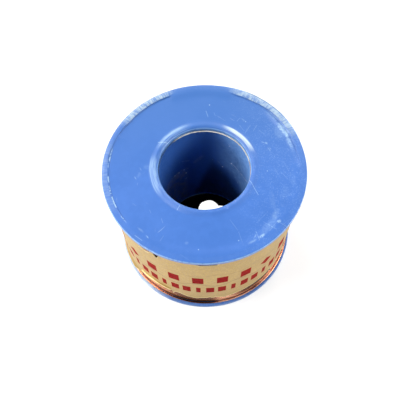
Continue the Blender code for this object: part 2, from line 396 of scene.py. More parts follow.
class BluePlastic:
    """Worn blue plastic of a flange; only the upper one carries the placed marks."""

    def __init__(self, name, upper):
        self.shader = shader = Material(name)
        self.upper = upper
        self.x, self.y, self.z = shader.separate(shader.position)
        self.radius = shader.length(self.x, self.y)
        self.angle = shader.math("ARCTAN2", self.y, self.x)
        self.azimuth = self.angle * DEG_PER_RAD
        self.cloud = shader.noise(scale=55.0, detail=3.0, rough=0.6)
        self.mottle = shader.noise(scale=420.0, detail=4.0, rough=0.65)
        self.build()

    def build(self):
        shader = self.shader
        hair = self.hair_scratches()
        specks = shader.specks(520.0, size=(0.06, 0.13), channel=0, chosen=(0.955, 0.965))
        white = (specks * 0.6).add_clamped(hair * 0.34)
        bead = self.bead()
        wear_and_sheen = self.bead_wear_and_sheen()
        coarse, streaks = self.bead_streaks()
        rub_and_sheen = bead * streaks.remap(0.42, 0.56, to=(0.22, 1.0)) * wear_and_sheen
        if self.upper:
            wobble = shader.noise(scale=520.0, detail=4.0, rough=0.7)
            white = self.placed_marks(white, wobble)
            white, step_foot_shade = self.left_step(white, wobble)
            white, glare = self.lip_polish_and_highlights(self.right_dust(white))

        colour = shader.mix(self.edge_highlights(coarse) * 0.58, self.base_colour(),
                            (0.26, 0.48, 0.80))
        # rubbed streaks on the bead, with painted sheen at the back left and back right
        colour = shader.mix(rub_and_sheen * 0.92, colour, (0.30, 0.39, 0.45))
        if self.upper:
            # painted shade in the fine groove near the rim's edge
            groove = abs(self.radius - 0.03149).fall(0.00008, 0.00019)
            groove = groove * self.azimuth.window(33.0, 63.0, soft=5.0)
            colour = shader.mix(groove * 0.75, colour, (0.045, 0.10, 0.20))
            # painted shade at the foot of the bead's step on the left
            colour = shader.mix(step_foot_shade * 0.55, colour, (0.016, 0.060, 0.210))
        else:
            # painted highlight: the lower rim is pale, nearly white, on the left
            pale = self.azimuth.past_left(rise=(150.0, 172.0), fall=(-132.0, -112.0))
            pale = pale * (self.radius.rise(0.0300, 0.0308)
                           * self.mottle.remap(0.30, 0.60, to=(0.55, 1.0)))
            colour = shader.mix(pale * 0.62, colour, (0.58, 0.66, 0.72))
        colour = shader.mix(white, colour, (0.34, 0.50, 0.62))
        if self.upper:
            # painted glare on the lip at the back right
            colour = shader.mix(glare * 0.74, colour, (0.64, 0.71, 0.67))
        shader.set("Base Color", colour)

        rough = self.cloud.remap(0.3, 0.7, to=(0.34, 0.40))
        shader.set("Roughness", rough.add_clamped(white * 0.20 + rub_and_sheen * 0.12))
        shader.set("IOR", 1.50)

        # relief: fine grain, turned rings on the lip, the bead's streaks, mottle and scratches
        fine = shader.noise(scale=1500.0, detail=3.0, rough=0.6)
        rings = (self.radius * (TAU / (0.36 * MM))).sine()
        lip = self.radius.band(rise=(0.0144, 0.0148), fall=(0.0166, 0.0171))
        height = fine * 0.35 + rings * (lip * 0.9)
        # the bead's wear and sheen is a plain number on the lower flange
        height = height + streaks * bead * shader.math("ADD", wear_and_sheen, 0.08) * 5.0
        height = height + self.mottle * 0.6 - hair * 0.8
        shader.set("Normal", shader.bump(height, strength=0.5, distance=0.00003))

    def base_colour(self):
        shader = self.shader
        colour = shader.mix(self.cloud.rise(0.32, 0.68), tint(BLUE, 0.965), tint(BLUE, 1.03))
        colour = shader.mix(self.mottle.rise(0.42, 0.66) * 0.16, colour,
                            tint(BLUE, 1.25, lift=0.010))
        # painted shade: the back is a little darker and duller
        back_shade = tuple(c * k for c, k in zip(BLUE, (0.97, 0.96, 0.87)))
        colour = shader.mix(self.y.remap(-0.012, 0.030, to=(0.0, 0.85)), colour, back_shade)
        # small darker stains
        stain = shader.noise(scale=330.0, detail=3.0, rough=0.6, distortion=0.6)
        return shader.mix(stain.rise(0.69, 0.77) * 0.35, colour, tint(BLUE, 0.55))

    def hair_scratches(self):
        """Hair scratches in three directions, gathered in patches and denser on the right."""
        shader = self.shader
        gate = shader.noise(scale=110.0, detail=2.0)
        gate_2 = shader.noise(scale=85.0, detail=2.0, distortion=0.2)
        more = self.x.rise(-0.004, 0.016) * -0.05
        hair = None
        # turn about Z (radians), stretch, streak limits, patches, patch limits
        for turn, stretch, limits, patches, patch_limits in (
            (None, (3600.0, 130.0, 400.0), (0.72, 0.80), gate, (0.60, 0.70)),
            (0.62, (160.0, 3600.0, 400.0), (0.71, 0.79), gate_2, (0.58, 0.68)),
            (-0.75, (190.0, 3300.0, 300.0), (0.72, 0.80), gate, (0.57, 0.68)),
        ):
            turned = None if turn is None else shader.mapped(Rotation=(0.0, 0.0, turn))
            streak = shader.noise(shader.mapped(turned, Scale=stretch), detail=1.0)
            layer = streak.rise(*limits) * (patches - more).rise(*patch_limits)
            hair = layer if hair is None else hair.add_clamped(layer)
        flat_face = self.radius.band(rise=(0.0172, 0.0182), fall=(0.0290, 0.0294))
        return hair * (flat_face * 0.75 + 0.25)

    def bead(self):
        """1 on the raised bead round the rim."""
        radius = self.radius
        if self.upper:
            # the step lies further in on two stretches
            inward = self.azimuth.window(111.0, 148.0, soft=3.0) * 0.00045
            inward = inward + self.azimuth.window(50.0, 74.0, soft=8.0) * 0.00050
            radius = radius + inward
        return radius.rise(0.02958, 0.02975)

    def bead_wear_and_sheen(self):
        """How hard the bead is rubbed round the rim, with painted sheen where the lamps glint on
        it.
        """
        if not self.upper:
            return 0.16
        azimuth = self.azimuth
        back_left = azimuth.window(112.0, 146.0, soft=5.0)
        back_right = azimuth.window(24.0, 70.0, soft=7.0)
        left = azimuth.past_left(rise=(158.0, 172.0), fall=(-158.0, -148.0))
        wear_and_sheen = (back_left * 0.90).add_clamped(back_right * 0.84)
        return wear_and_sheen.add_clamped(left * 0.24).add_clamped(0.02)

    def bead_streaks(self):
        """Streaks running outward across the bead: the coarse ones, and all of them."""
        shader = self.shader
        coarse = shader.noise(
            shader.combine(self.angle * 38.0, self.radius * 260.0, self.z * 60.0),
            detail=3.0, rough=0.7)
        fine = shader.noise(
            shader.combine(self.angle * 95.0, self.radius * 330.0, 0.0), detail=2.0)
        return coarse, coarse * 0.6 + fine * 0.4

    def placed_marks(self, white, wobble):
        """Add the tables of rubbed patches and scratches, broken up by grain."""
        shader = self.shader
        grain = shader.noise(scale=1900.0, detail=3.0, rough=0.75)
        for x, y, half_u, half_v, turn, strength in RUBBED_PATCHES:
            mask = shader.blob_mask(self.x, self.y, (x * MM, y * MM),
                                    (half_u * MM, half_v * MM), turn, wobble)
            mask = mask * grain.remap(0.34, 0.60, to=(0.30, 1.0))
            white = white.add_clamped(mask * strength)
        for start, stop, width, strength in SCRATCHES:
            mask = shader.line_mask(self.x, self.y, (start[0] * MM, start[1] * MM),
                                    (stop[0] * MM, stop[1] * MM), width * MM)
            mask = mask * grain.remap(0.30, 0.55, to=(0.45, 1.0))
            white = white.add_clamped(mask * strength)
        return white

    def left_step(self, white, wobble):
        """Bright flecks along the bead's inner border on the left, and painted shade at its foot.
        """
        shader = self.shader
        line = abs(self.radius - 0.02945).fall(0.00010, 0.00026)
        breaks = shader.noise(
            shader.combine(self.angle * 26.0, self.radius * 900.0, 0.0), detail=2.0)
        left = self.azimuth.past_left(rise=(164.0, 172.0), fall=(-146.0, -140.0))
        line = line * left * breaks.rise(0.46, 0.58)
        wandering = self.radius + (wobble - 0.5) * 0.0003
        step_foot_shade = abs(wandering - 0.02922).fall(0.00005, 0.00016) * left
        return white.add_clamped(line * 0.75), step_foot_shade

    def right_dust(self, white):
        """Fine grain rubbed into the right of the disc."""
        dust = self.shader.noise(scale=2500.0, detail=2.0, rough=0.6).rise(0.50, 0.72)
        place = self.x.rise(0.004, 0.022) * self.mottle.remap(0.34, 0.62, to=(0.3, 1.0))
        return white.add_clamped(dust * place * 0.20)

    def lip_polish_and_highlights(self, white):
        """The lip's outer flank polished pale, with painted highlights on three stretches, in
        fine turned lines.
        """
        shader, radius, azimuth = self.shader, self.radius, self.azimuth
        flank = radius.band(rise=(0.01555, 0.01595), fall=(0.01640, 0.01685))
        lines = shader.noise(
            shader.combine(self.angle * 2.2, radius * 2900.0, 0.0), detail=2.0)
        back_right = azimuth.window(25.0, 62.0, soft=9.0) * 0.72
        back_left = azimuth.window(112.0, 150.0, soft=9.0) * 0.62
        left = azimuth.past_left(rise=(160.0, 178.0), fall=(-158.0, -140.0))
        polish_and_highlight = (back_right + back_left).add_clamped(left * 0.42)
        polish_and_highlight = polish_and_highlight * flank * lines.remap(0.36, 0.60, to=(0.40, 1.0))
        # on the left the polish and painted highlight spread over the whole lip
        whole_lip = radius.band(rise=(0.01450, 0.01500), fall=(0.01670, 0.01730))
        highlight_haze = (left * 0.40).max(back_left * 0.42)
        highlight_haze = highlight_haze * whole_lip * lines.remap(0.38, 0.60, to=(0.10, 1.0))
        broad = radius.band(rise=(0.01505, 0.01545), fall=(0.01630, 0.01690))
        glare = back_right * broad * lines.remap(0.30, 0.55, to=(0.55, 1.0))
        return white.add_clamped(polish_and_highlight.max(highlight_haze)), glare

    def edge_highlights(self, streaks):
        """Painted highlight: a pale line on the rim's outer edge and, on the upper flange, round
        the bore.
        """
        edge = self.radius.rise(0.03128, 0.03136) * abs(self.z - MID_Z).rise(0.02255, 0.02275)
        edge = edge * streaks.remap(0.30, 0.55, to=(0.35, 1.0))
        bore = abs(self.radius - 0.01440).fall(0.00007, 0.00015)
        bore = bore * self.mottle.remap(0.30, 0.55, to=(0.4, 1.0))
        return edge.add_clamped(bore * (0.8 if self.upper else 0.0))


# --------------------------------------------------------------- tube plastic
WALL_R = 14.1               # bore radius at which the marks are laid out, mm
MARK_MM_PER_DEG = 0.2461    # arc of the wall to a degree, as used to place the marks

# Scuff lines on the bore wall: (azimuth, z mm) start and stop, width (mm), strength
WALL_SCUFFS = (
    ((47.0, 29.6), (33.0, 28.9), 0.16, 0.50), ((33.0, 28.9), (17.0, 30.2), 0.14, 0.55),
    ((17.0, 30.2), (3.0, 33.8), 0.14, 0.60), ((71.0, 27.0), (63.0, 24.2), 0.14, 0.26),
    ((104.0, 26.0), (94.0, 29.0), 1.00, 0.07), ((122.0, 29.4), (113.0, 28.2), 0.45, 0.12),
    ((56.0, 40.4), (49.0, 39.2), 0.20, 0.20),
)

# Pale specks on the bore wall: azimuth, z (mm), radius (mm), strength
WALL_SPECKS = (
    (121.3, 23.4, 0.25, 0.85), (130.2, 23.5, 0.27, 0.95), (118.5, 20.6, 0.25, 0.90),
    (138.1, 23.8, 0.26, 0.90), (119.1, 16.9, 0.22, 0.70), (63.5, 24.3, 0.25, 0.90),
    (49.2, 29.7, 0.27, 0.90), (151.0, 20.6, 0.18, 0.40), (139.4, 13.5, 0.20, 0.50),
    (145.0, 17.9, 0.18, 0.45), (78.5, 27.4, 0.15, 0.45), (41.0, 22.6, 0.16, 0.45),
    (35.0, 21.0, 0.15, 0.40), (54.5, 39.4, 0.20, 0.40), (28.0, 23.2, 0.15, 0.40),
    (133.5, 16.2, 0.15, 0.40), (147.2, 12.4, 0.16, 0.45), (128.0, 30.0, 0.15, 0.25),
    (96.3, 27.0, 0.15, 0.30), (12.0, 24.6, 0.15, 0.35),
)


def wall_marks(shader, run_mm, z_mm, fine, scuffed):
    """Strength of the scuff lines and pale specks on the bore wall."""
    marks = None
    for (azimuth_0, z_0), (azimuth_1, z_1), width, strength in WALL_SCUFFS:
        mask = shader.line_mask(run_mm, z_mm, (azimuth_0 * MARK_MM_PER_DEG, z_0),
                                (azimuth_1 * MARK_MM_PER_DEG, z_1), width)
        grain = shader.noise(scale=900.0, detail=3.0, rough=0.7)
        mask = mask * (grain.rise(0.36, 0.56) * strength)
        marks = mask if marks is None else marks.max(mask)
    for azimuth, z, radius, strength in WALL_SPECKS:
        distance = shader.length(run_mm - azimuth * MARK_MM_PER_DEG, z_mm - z)
        distance = distance + (fine - 0.5) * 0.16
        mask = distance.remap(radius * 0.7, radius * 1.25, to=(strength, 0.0))
        marks = marks.max(mask)
    specks = shader.specks(620.0, size=(0.06, 0.16), channel=1, chosen=(0.93, 0.95))
    return marks.max(specks * (0.16 + scuffed * 0.30))


def tube_end_colour(shader, z, azimuth):
    """Rough cut ends: pale and dirty at the top; below, grey-blue on the left and painted shade,
    near black, elsewhere.
    """
    dirt = shader.noise(scale=300.0, detail=4.0).rise(0.35, 0.65)
    cream = shader.mix(dirt, (0.50, 0.48, 0.40), (0.80, 0.78, 0.68))
    brown = azimuth.band(rise=(-26.0, -20.0), fall=(8.0, 16.0))
    cream = shader.mix(brown * 0.85, cream, (0.24, 0.14, 0.075))
    pale = azimuth.window(-24.0, 131.0, soft=6.0)
    cream = shader.mix(pale, (0.030, 0.070, 0.170), cream)
    # painted shade: the lower end goes near black away from the left
    below = shader.mix(azimuth.rise(82.0, 112.0), (0.008, 0.012, 0.022), (0.140, 0.190, 0.280))
    return shader.mix(z.rise(0.018, 0.026), below, cream)


def tube_material():
    shader = Material("barrel_tube_plastic")
    x, y, z = shader.separate(shader.position)
    azimuth = shader.math("ARCTAN2", y, x) * DEG_PER_RAD
    run_mm = azimuth * (WALL_R * math.pi / 180.0)      # distance round the wall
    z_mm = z * 1000.0
    cloud = shader.noise(shader.mapped(Scale=(90.0, 90.0, 45.0)), detail=4.0)
    fine = shader.noise(scale=900.0, detail=3.0)
    ragged = shader.noise(scale=120.0, detail=4.0, rough=0.6) - 0.5
    colour = shader.mix(cloud.rise(0.3, 0.7), (0.026, 0.092, 0.320), (0.034, 0.112, 0.365))

    # painted light on the right of the wall, broken up by dust, bounded below by a slanting
    # shadow edge
    slant = azimuth * 0.16 + 13.0
    over = z_mm + ragged * 5.0 - slant
    right = over.rise(-1.5, 6.0) * azimuth.window(-60.0, 66.0, soft=20.0)
    dust = shader.noise(scale=640.0, detail=4.0, rough=0.7).remap(0.34, 0.66, to=(0.62, 1.0))
    colour = shader.mix(right * dust * 0.92, colour, (0.128, 0.285, 0.570))

    # the scuffed band low on the left
    scuff_top = 25.0 + ragged * 2.2
    scuffed = (scuff_top - z_mm).rise(0.0, 1.2) * azimuth.window(116.0, 171.0, soft=8.0)
    dusty = scuffed * shader.noise(scale=640.0, detail=4.0, rough=0.7).rise(0.36, 0.66)
    colour = shader.mix(dusty * 0.75, colour, (0.170, 0.170, 0.240))

    # painted shadow: a dark, deeply coloured stretch of the back wall, under a peaked boundary
    peak = 26.0 - (azimuth - 79.0).max(0.0) * 0.77
    peak = peak - (79.0 - azimuth).max(0.0) * 0.23
    above_peak = z_mm + ragged * 4.0 - peak
    back_wall_shadow = azimuth.window(18.0, 112.0, soft=8.0) * above_peak.fall(-5.5, 4.0)
    back_wall_shadow = back_wall_shadow * (1.0 - right)
    colour = shader.mix(back_wall_shadow * 0.75, colour, (0.002, 0.010, 0.060))
    # painted shade: a deeper, darker blue low on the left wall
    deep_shade = azimuth.window(108.0, 146.0, soft=7.0) * z_mm.fall(27.0, 38.0)
    colour = shader.mix(deep_shade * (1.0 - scuffed) * 0.55, colour, (0.008, 0.060, 0.260))

    marks = wall_marks(shader, run_mm, z_mm, fine, scuffed)
    colour = shader.mix(marks, colour, (0.62, 0.68, 0.74))

    from_middle = abs(z - MID_Z)
    end_grain = shader.noise(scale=700.0, detail=4.0, rough=0.7)
    end = (from_middle + (end_grain - 0.5) * 0.0003).rise(0.02092, 0.02104)
    colour = shader.mix(end, colour, tube_end_colour(shader, z, azimuth))
    shader.set("Base Color", colour)
    rough = fine.remap(0.3, 0.7, to=(0.30, 0.40))
    shader.set("Roughness", rough.add_clamped(end.max(right) * 0.4))
    # painted light: the crumbs glow faintly, brighter than the shaded wall round them
    shader.set("Emission Color", (0.60, 0.66, 0.74))
    shader.set("Emission Strength", marks * (1.0 - end) * 0.085)
    height = fine + end * (end_grain * 3.0)
    shader.set("Normal", shader.bump(height, strength=0.4, distance=0.00004))
    return shader.material


# --------------------------------------------------------------------- copper
COPPER = ((0.46, 0.170, 0.080), (0.76, 0.350, 0.190))         # darker and lighter streaks
# painted shade: a darker copy of the copper for the winding body under the turns
SHADED_COPPER = ((0.20, 0.062, 0.026), (0.32, 0.110, 0.048))


def copper(name, colours=COPPER):
    shader = Material(name)
    x, y, z = shader.separate(shader.position)
    angle = shader.math("ARCTAN2", y, x)
    along = shader.combine(angle * 6.0, z * 3200.0, 0.0)
    streak = shader.noise(along, detail=3.0)
    patch = shader.noise(scale=160.0, detail=3.0)
    dark, light = colours
    colour = shader.mix(streak.rise(0.30, 0.70), dark, light)
    colour = shader.mix(patch.rise(0.58, 0.75) * 0.35, colour, tint(dark, 0.7))
    azimuth = angle * DEG_PER_RAD
    # painted shade: the enamel is darkened at the front and, above the lowest turns, right of it
    front = azimuth.band(rise=(-128.0, -104.0), fall=(-88.0, -80.0))
    shade_above = azimuth.band(rise=(-76.0, -62.0), fall=(-40.0, -24.0)) * z.rise(0.0031, 0.0038)
    brown = (front * 0.84).max(shade_above * 0.94)
    colour = shader.mix(brown, colour, (0.060, 0.016, 0.005))
    # painted highlight: a paler stretch right of the front, narrowing upward
    pale = azimuth.band(rise=(-86.0, -79.0), fall=(-50.0, -30.0))
    raised = z + azimuth.remap(-76.0, -62.0, to=(0.0, 0.0019))
    pale = pale * raised.fall(0.0042, 0.0050)
    pale = pale * streak.remap(0.25, 0.55, to=(0.45, 1.0))
    shader.set("Base Color", shader.mix(pale * 0.70, colour, (0.95, 0.60, 0.44)))
    shader.set("Metallic", 1.0)
    shader.set("Roughness", streak.remap(0.3, 0.7, to=(0.17, 0.27)) + pale * 0.16)
    # the coat is thinned under the painted shade so that it reflects less
    shader.set("Coat Weight", 0.55 - brown * 0.45)
    shader.set("Coat Roughness", 0.10)
    shader.set("Coat Tint", (1.0, 0.90, 0.74))
    height = shader.noise(along, scale=2.0, detail=3.0)
    shader.set("Normal", shader.bump(height, strength=0.15, distance=0.00003))
    return shader.material


# ----------------------------------------------------------------- gold paper
PRINT_R = 30.2                              # radius at which the print is laid out, mm
PRINT_MM_PER_DEG = TAU * PRINT_R / 360.0


def printed_shapes():
    """Red shapes as (lozenge?, angle, height mm, half width mm, half height mm)."""
    shapes = []
    # an even border of blocks with a lozenge at each quarter turn
    for k in range(24):
        angle = wrap(-50.0 + 15.0 * k)
        if k % 6 == 0:
            shapes.append((True, angle, 25.8, 2.4, 2.5))
        else:
            shapes.append((False, angle, 26.2, 1.8, 2.75))
    # an even row of bars below it, two wide and one narrow in turn
    for k in range(48):
        shapes.append((False, wrap(-42.5 + 7.5 * k), 16.7, (1.35, 1.35, 0.75)[k % 3], 2.5))
    return shapes


def red_print(shader, along, up, wobble):
    red = None
    for lozenge, angle, height, half_width, half_height in printed_shapes():
        across = abs(along - angle * PRINT_MM_PER_DEG) * (1.0 / half_width)
        upright = abs(up - height) * (1.0 / half_height)
        distance = across + upright if lozenge else across.max(upright)
        distance = distance + wobble * (1.0 / half_width)
        mask = distance.fall(0.97, 1.05)
        red = mask if red is None else red.max(mask)
    return red


def printed_rules(along, up):
    """A thin rule that waves between the rows, a fainter one above and a straight one below."""
    wave = (along * (TAU / 14.0)).sine() * 1.1
    middle = abs(up + wave - 21.9).fall(0.10, 0.26)
    upper = abs(up + wave * -0.7 - 31.0).fall(0.08, 0.20)
    lower = abs(up - 9.6).fall(0.06, 0.16)
    return middle.add_clamped(upper * 0.6).add_clamped(lower * 0.5)


def gold_paper():
    """Metallic gold paper with plain printed blocks and lozenges; no lettering."""
    shader = Material("gold_label_paper")
    x, y, z = shader.separate(shader.position)
    angle = shader.math("ARCTAN2", x, y * -1.0) * DEG_PER_RAD
    along = angle * PRINT_MM_PER_DEG        # mm along the strip
    up = z * 1000.0                         # mm up it
    wobble = (shader.noise(scale=1400.0, detail=3.0, rough=0.7) - 0.5) * 0.20
    edge_mm = shader.signal("Attribute", output="Fac", attribute_name="edge_mm")
    red = red_print(shader, along, up, wobble)
    rules = printed_rules(along, up)

    # gold flakes and scuffed creases
    flake = shader.cell_value(3600.0, channel=0)
    coarse_flake = shader.cell_value(1700.0, channel=1)
    cloud = shader.noise(scale=55.0, detail=5.0, rough=0.6)
    crease = shader.noise(shader.combine(along * 0.25, up * 2.4, 0.0), detail=4.0, rough=0.65)
    gold = shader.mix(cloud.rise(0.3, 0.7), (0.325, 0.204, 0.038), (0.395, 0.255, 0.055))
    gold = shader.mix(flake.remap(0.35, 1.0, to=(0.0, 0.42)), gold, (0.64, 0.46, 0.155))
    gold = shader.mix(coarse_flake.remap(0.25, 1.0, to=(0.0, 0.42)), gold, (0.29, 0.18, 0.05))
    scuff = crease.rise(0.63, 0.72) * shader.noise(scale=150.0, detail=2.0).rise(0.48, 0.6)
    gold = shader.mix(scuff * 0.30, gold, (0.74, 0.62, 0.36))

    ink = shader.mix(shader.noise(scale=900.0, detail=3.0).rise(0.3, 0.7),
                     (0.215, 0.010, 0.010), (0.290, 0.015, 0.014))
    colour = shader.mix(rules * 0.85, gold, (0.16, 0.075, 0.015))
    colour = shader.mix(red, colour, ink)
    # worn pale edges, with a painted highlight along them
    wear_and_sheen = (edge_mm + wobble * 1.2).fall(0.16, 0.50)
    colour = shader.mix(wear_and_sheen * 0.62, colour, (0.90, 0.78, 0.42))
    # faces turned towards the axis show the pale paper back
    geometry = shader.new("NewGeometry")
    normal_x, normal_y, _ = shader.separate(geometry.outputs["Normal"])
    point_x, point_y, _ = shader.separate(geometry.outputs["Position"])
    inner = (normal_x * point_x + normal_y * point_y).fall(-0.004, 0.004)
    shader.set("Base Color", shader.mix(inner * 0.85, colour, (0.80, 0.66, 0.36)))

    shader.set("Metallic", (1.0 - red) * 0.62 * (1.0 - inner) * (1.0 - wear_and_sheen * 0.7))
    shader.set("IOR", 1.5 - red * 0.40)
    shader.set("Specular IOR Level", 0.40 - red * 0.34)
    shader.set("Roughness", flake.remap(0.0, 1.0, to=(0.36, 0.52)) + red * 0.05)
    height = flake * 0.30 + crease * 0.5 + red * 0.4
    shader.set("Normal", shader.bump(height, strength=0.5, distance=0.00005))
    return shader.material


# -------------------------------------------------------------------- flanges
# The flange's section as (radius, depth below the rim plane), mm
FLANGE_SECTION = (
    # bead and its outer fall
    (29.75, 0.0), (30.1, 0.0), (30.45, 0.008), (30.7, 0.030), (30.95, 0.068), (31.12, 0.105),
    (31.18, 0.120), (31.25, 0.145), (31.34, 0.185), (31.38, 0.21), (31.44, 0.28), (31.485, 0.38),
    # rim
    (31.5, 0.50), (31.5, 0.8), (31.5, 1.0), (31.5, 1.25),
    (31.49, 1.45), (31.45, 1.57), (31.37, 1.67), (31.25, 1.73), (31.1, 1.75),
    # wire side of the disc
    (30.0, 1.78), (28.0, 1.83), (25.0, 1.91), (21.5, 2.0), (18.2, 2.08),
    # collar round the tube
    (17.7, 2.11), (17.45, 2.22), (17.28, 2.4), (17.22, 2.7), (17.2, 4.0), (17.2, 6.1),
    (17.12, 6.35), (16.95, 6.5), (16.1, 6.5), (15.95, 6.35), (15.9, 6.1), (15.9, 4.0),
    (15.9, 1.85), (15.85, 1.8),
    # underside of the lip, and the bore
    (15.0, 1.8), (14.48, 1.8), (14.38, 1.77), (14.33, 1.68), (14.33, 1.45), (14.33, 1.2),
    (14.33, 0.98), (14.335, 0.82), (14.355, 0.70), (14.39, 0.61), (14.45, 0.53), (14.53, 0.46),
    # lip
    (14.63, 0.385), (14.75, 0.315), (14.88, 0.255), (15.02, 0.205), (15.16, 0.165),
    (15.32, 0.135), (15.5, 0.12), (15.65, 0.125), (15.8, 0.142), (15.95, 0.170), (16.1, 0.203),
    (16.25, 0.236), (16.4, 0.266), (16.55, 0.292), (16.7, 0.312), (16.85, 0.328), (17.0, 0.339),
    (17.2, 0.347),
    # outer face of the disc
    (17.8, 0.35), (19.0, 0.35), (21.0, 0.35), (23.0, 0.35), (25.0, 0.35), (26.2, 0.35),
    (27.0, 0.35), (27.5, 0.35), (28.0, 0.35), (28.4, 0.35), (28.75, 0.35), (29.05, 0.35),
    (29.3, 0.35),
    # step up to the bead
    (29.44, 0.345), (29.51, 0.30), (29.55, 0.20), (29.60, 0.08), (29.66, 0.02),
)
STEP_START = len(FLANGE_SECTION) - 5        # first point of the step
RIM_ROUND = 0.3                             # radius of the hardly worn outer edge, mm


def flange_shift(seed, top):
    """Small irregularities of a worn moulding, as a shift for lathe."""

    def shift(degrees, i, r, z):
        azimuth = wrap(degrees - 90.0)
        depth = (TOP - z) if top else z            # under the rim plane
        lift = 0.0                                 # outward from the disc
        if top:
            # the bead's inner step has worn away except on these stretches
            step = max(window(azimuth, 112.5, 158.0, 2.5), window(azimuth, 2.0, 71.0, 5.0),
                       0.75 * window(azimuth, 150.0, 216.0, 8.0), 0.03)
        else:
            step = 1.0
        if top and 28.5 < r < 29.72 and depth < 0.5:
            # the step lies further in on two stretches
            inward = (0.45 * window(azimuth, 111.0, 148.0, 3.0)
                      + 0.50 * window(azimuth, 50.0, 74.0, 8.0))
            r -= inward * smooth((r - 28.4) / 0.9)
        if depth < 0.5 and i >= STEP_START:
            # and it wanders a little
            r += 0.09 * ring_noise(degrees, 30, seed) + 0.05 * ring_noise(degrees, 85, seed + 3.0)
            if top:
                r -= 0.12 * bump(wrap(azimuth - 113.0), 0.0, 2.2)
        if 26.0 < r < 29.8 and 0.0 < depth < 0.5:
            lift += depth * (1.0 - step) * smooth((r - 26.0) / 3.3)
        if r >= 29.72 and depth < 0.5:
            # radial striations and dents on the bead
            lift += 0.016 * ring_noise(degrees, 300, seed + 5.0)
            lift += 0.012 * ring_noise(degrees, 90, seed + 8.0)
            lift -= 0.010
        if top and r > 30.4 and depth < 0.52:
            # the bead's outer fall is hardly worn at the front: flat out to a tight edge
            amount = window(azimuth, -172.0, -14.0, 9.0)
            inset = RIM_ROUND - min(RIM_ROUND, RIM_R - r)
            lift += amount * (depth - (RIM_ROUND - math.sqrt(max(0.0, 0.09 - inset ** 2))))
        if top and r > 29.9 and depth < 1.9:
            # the rim is spread a little at the back right, with a fine groove near its edge
            if 31.05 < r < 31.22 and depth < 0.5:
                lift -= 0.13 * window(azimuth, 33.0, 63.0, 6.0)
            r += 0.40 * window(azimuth, 24.0, 74.0, 16.0) * smooth((r - 29.9) / 1.5)
        if r > 31.2:
            # unevenness round the rim
            r += 0.018 * ring_noise(degrees, 60, seed + 11.0) - 0.018
            if depth < 0.9:
                r -= 0.05 * max(0.0, ring_noise(degrees, 120, seed + 21.0) - 0.35)
        if top and r > 29.9 and depth < 1.0:
            # a chip in the rim at the front right
            amount = bump(wrap(azimuth + 41.5), 0.0, 1.9) * smooth((r - 29.9) / 0.9)
            lift -= 0.16 * amount
            if r > 31.2:
                r -= 0.10 * amount
        if 14.3 < r < 17.2 and depth < 1.0:
            # turned rings and slight waviness on the lip
            lift += 0.006 * math.sin(r * TAU / 0.36)
            lift += 0.008 * ring_noise(degrees, 14, seed + 2.0, r * 0.4)
        if 17.2 <= r <= 29.3 and depth < 0.5:
            # sink and warp of the disc
            lift += 0.020 * ring_noise(degrees, 5, seed + 6.0, r * 0.12)
            lift += 0.006 * ring_noise(degrees, 22, seed + 7.0, r * 0.5)
        if top and 26.9 < r < 29.35 and depth < 0.5:
            # the disc falls away towards the bead on the right
            lift -= 0.20 * window(azimuth, 10.0, 44.0, 9.0) * smooth((r - 26.9) / 2.3)
        if top and r < 17.0 and depth < 1.2:
            # nick in the front of the lip
            lift -= 0.26 * bump(wrap(azimuth + 65.0), 0.0, 2.3) * bump(r, 15.25, 0.75)
        if depth < 0.5:
            lift = min(lift, depth - 0.004)
        return r, z + lift if top else z - lift

    return shift


def build_flanges():
    for side, top, seed in (("upper", True, 4.2), ("lower", False, 9.7)):
        material = BluePlastic(side + "_flange_plastic", upper=top).shader.material
        profile = [(r, TOP - depth if top else depth) for r, depth in FLANGE_SECTION]
        flange = lathe(side + "_flange_skin", profile, material, FLANGE_SEGMENTS,
                       shift=flange_shift(seed, top))
        register(flange, "spool", replaces=side + "_flange")


# ----------------------------------------------------------------------- tube
TUBE_INSET = 2.1        # from each rim plane to the tube's end, mm


def tube_profile(low, high):
    heights = [high - 0.25 - i * (high - low - 0.5) / 24 for i in range(25)]
    profile = [(15.45, high), (15.56, high - 0.06), (15.6, high - 0.16)]
    profile += [(15.6, z) for z in heights]
    profile += [(15.6, low + 0.16), (15.56, low + 0.06), (15.45, low)]
    profile += [(15.1, low), (14.75, low), (14.45, low), (14.27, low)]
    profile += [(14.22, low + 0.03), (14.2, low + 0.1)]
    # the bore is slightly narrower away from the ends
    profile += [(14.2 if min(z - low, high - z) < 1.2 else 14.15, z) for z in reversed(heights)]
    profile += [(14.2, high - 0.1), (14.22, high - 0.03)]
    profile += [(14.27, high), (14.45, high), (14.75, high), (15.1, high)]
    return profile


def build_tube():
    low, high = TUBE_INSET, TOP - TUBE_INSET

    def rough_end(degrees, r, z, side, seed):
        z += side * (0.09 * ring_noise(degrees, 80, seed + 3.0, r)
                     + 0.05 * ring_noise(degrees, 220, seed + 6.0, r * 2.0))
        if r < 14.3:
            r -= 0.06 * ring_noise(degrees, 150, seed + 8.0, z) + 0.02
        return r, z

    def shift(degrees, i, r, z):
        if z > high - 0.2:
            return rough_end(degrees, r, z, side=1, seed=0.0)
        if z < low + 0.2:
            return rough_end(degrees, r, z, side=-1, seed=10.0)
        if r < 14.3:
            # waviness, and a fine raised ring at z = 29.2
            r += (0.012 * ring_noise(degrees, 9, 1.0, z * 0.1)
                  - 0.05 * math.exp(-((z - 29.2) / 0.35) ** 2))
        return r, z

    tube = lathe("barrel_tube_skin", tube_profile(low, high), tube_material(), TUBE_SEGMENTS,
                 shift=shift)
    register(tube, "spool", replaces="barrel_tube")


# ----------------------------------------------------------------------- wire
WIRE_R = 0.3
COIL_R = 29.57              # centre line of the outermost layer
BODY_END = 2.4              # from each rim plane to the winding body
RIDGE_PITCH = 0.62
RIDGE_R = 28.98             # centre line of the ridges on the winding body
COIL_STEPS = 180            # points to a turn


